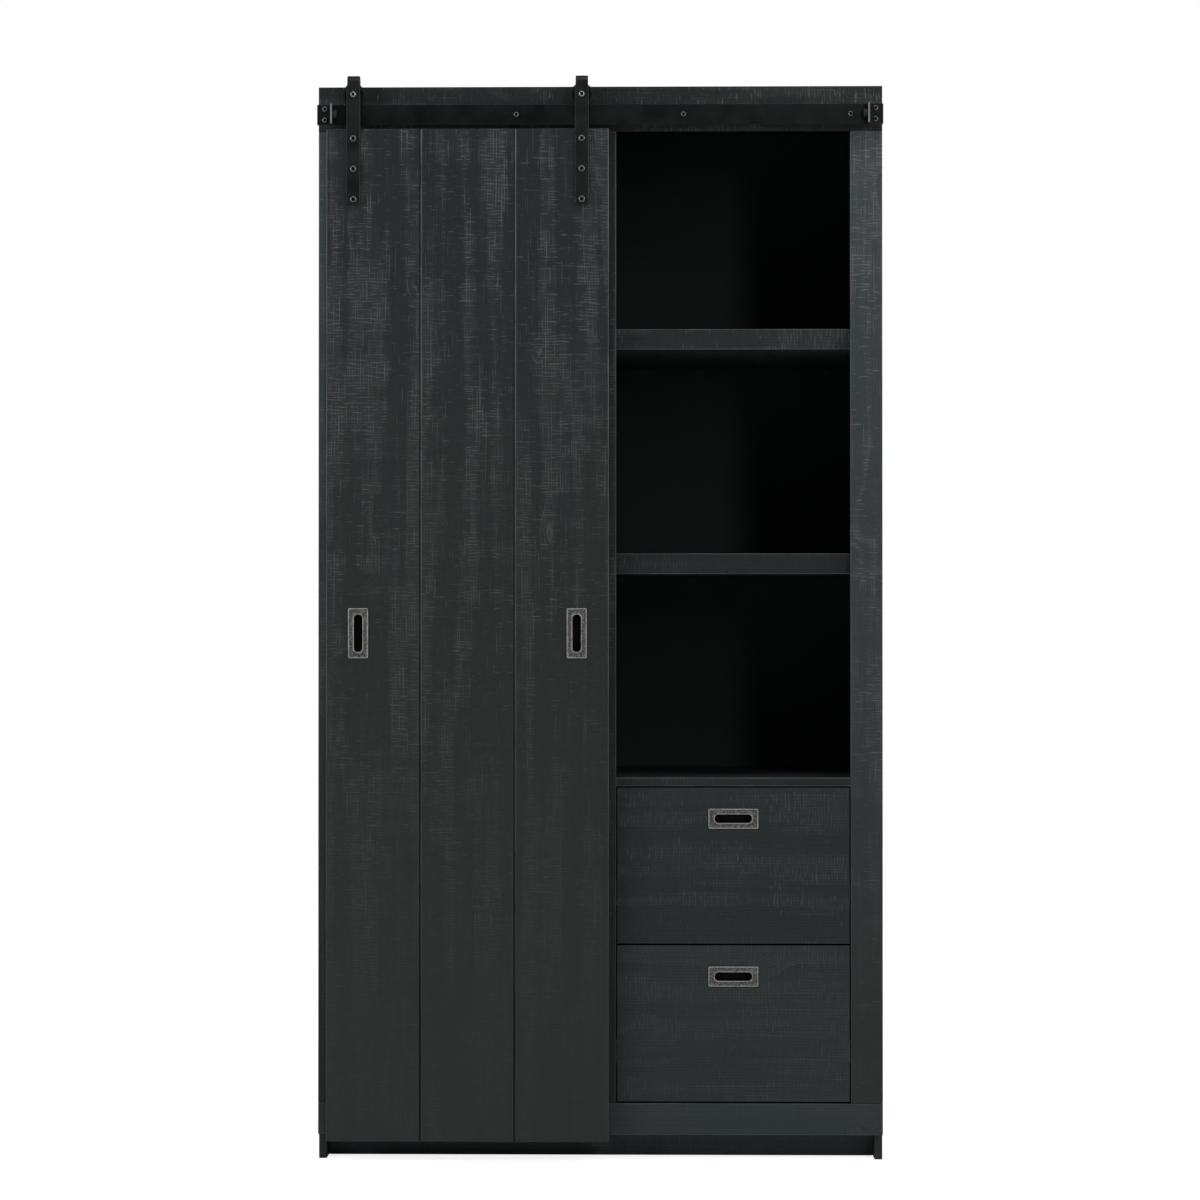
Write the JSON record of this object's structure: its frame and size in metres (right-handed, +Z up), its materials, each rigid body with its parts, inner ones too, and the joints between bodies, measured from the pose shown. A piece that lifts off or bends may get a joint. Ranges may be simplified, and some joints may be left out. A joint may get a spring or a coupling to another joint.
{
  "type": "sliding door wardrobe",
  "caption": "Tall dark-stained wardrobe with a face frame, a hanging plank door that rolls on a bar track, open shelves, and drawers with flush pulls.",
  "frame": {"origin": "on the floor, under the middle of the whole wardrobe's box, its track and hanger straps included", "axes": "+Z up; +Y towards the wall behind the wardrobe, so its front faces -Y; +X to the right as seen from the front"},
  "size_m": [1.13, 0.6, 2.168],
  "materials": {
    "stained_wood": "rough-sawn softwood, black stain, dry-brushed",
    "back_board": "thin stained board, matt",
    "drawer_wood": "planed softwood, black stain, matt",
    "black_steel": "satin black powder coat",
    "zinc_steel": "bright zinc plate",
    "pewter": "cast iron, waxed, rubbed bright on the edges",
    "rubber": "matt moulded rubber"
  },
  "bodies": {
    "carcass": {"side_panel_left": "stained_wood", "side_panel_right": "stained_wood", "centre_partition": "stained_wood", "top_panel": "stained_wood", "bottom_panel": "stained_wood", "back_panel": "back_board", "plinth": "stained_wood", "head_fascia": "stained_wood", "stile_left": "stained_wood", "stile_centre": "stained_wood", "stile_right": "stained_wood", "bottom_rail": "stained_wood", "shelf_upper": "stained_wood", "shelf_lower": "stained_wood", "drawer_deck": "stained_wood", "runner_packer_left": "drawer_wood", "runner_packer_right": "drawer_wood", "hanging_rail": "zinc_steel", "track_bar": "black_steel", "track_bolt_1": "black_steel", "track_bolt_2": "black_steel", "track_bolt_3": "black_steel", "track_bolt_4": "black_steel", "end_stop_left": "black_steel", "end_stop_right": "black_steel", "bumper_left": "rubber", "bumper_right": "rubber", "door_guide": "black_steel", "drawer_lower_runner_fixed_left": "zinc_steel", "drawer_lower_runner_fixed_right": "zinc_steel", "drawer_upper_runner_fixed_left": "zinc_steel", "drawer_upper_runner_fixed_right": "zinc_steel"},
    "door": {"door_plank_left": "stained_wood", "door_plank_middle": "stained_wood", "door_plank_right": "stained_wood", "hanger_strap_left": "black_steel", "hanger_strap_right": "black_steel", "wheel_axle_left": "zinc_steel", "wheel_axle_right": "zinc_steel", "door_pull_left": "pewter", "door_pull_right": "pewter"},
    "wheel_l": {"wheel_left": "black_steel"},
    "wheel_r": {"wheel_right": "black_steel"},
    "upper_runner_stage": {"drawer_upper_runner_middle_left": "zinc_steel", "drawer_upper_runner_middle_right": "zinc_steel"},
    "upper_drawer": {"drawer_upper_front": "stained_wood", "drawer_upper_side_left": "drawer_wood", "drawer_upper_side_right": "drawer_wood", "drawer_upper_back": "drawer_wood", "drawer_upper_bottom": "drawer_wood", "drawer_upper_pull": "pewter"},
    "lower_runner_stage": {"drawer_lower_runner_middle_left": "zinc_steel", "drawer_lower_runner_middle_right": "zinc_steel"},
    "lower_drawer": {"drawer_lower_front": "stained_wood", "drawer_lower_side_left": "drawer_wood", "drawer_lower_side_right": "drawer_wood", "drawer_lower_back": "drawer_wood", "drawer_lower_bottom": "drawer_wood", "drawer_lower_pull": "pewter"}
  },
  "joints": [
    {"name": "door_slide", "type": "slide", "parent": "carcass", "child": "door", "axis": [-1, 0, 0], "range_m": [-0.547, 0.019]},
    {"name": "wheel_left_spin", "type": "hinge", "parent": "door", "child": "wheel_l", "pos_m": [-0.492, -0.2775, 2.129], "axis": [0, -1, 0], "continuous": true},
    {"name": "wheel_right_spin", "type": "hinge", "parent": "door", "child": "wheel_r", "pos_m": [-0.036, -0.2775, 2.129], "axis": [0, -1, 0], "continuous": true},
    {"name": "upper_runner_slide", "type": "slide", "parent": "carcass", "child": "upper_runner_stage", "axis": [0, -1, 0], "range_m": [0, 0.21]},
    {"name": "upper_drawer_slide", "type": "slide", "parent": "upper_runner_stage", "child": "upper_drawer", "axis": [0, -1, 0], "range_m": [0, 0.21]},
    {"name": "lower_runner_slide", "type": "slide", "parent": "carcass", "child": "lower_runner_stage", "axis": [0, -1, 0], "range_m": [0, 0.21]},
    {"name": "lower_drawer_slide", "type": "slide", "parent": "lower_runner_stage", "child": "lower_drawer", "axis": [0, -1, 0], "range_m": [0, 0.21]}
  ],
  "couplings": [
    {"joint": "wheel_left_spin", "follows": "door_slide", "rad_per_m": 53.191},
    {"joint": "wheel_right_spin", "follows": "door_slide", "rad_per_m": 53.191}
  ]
}
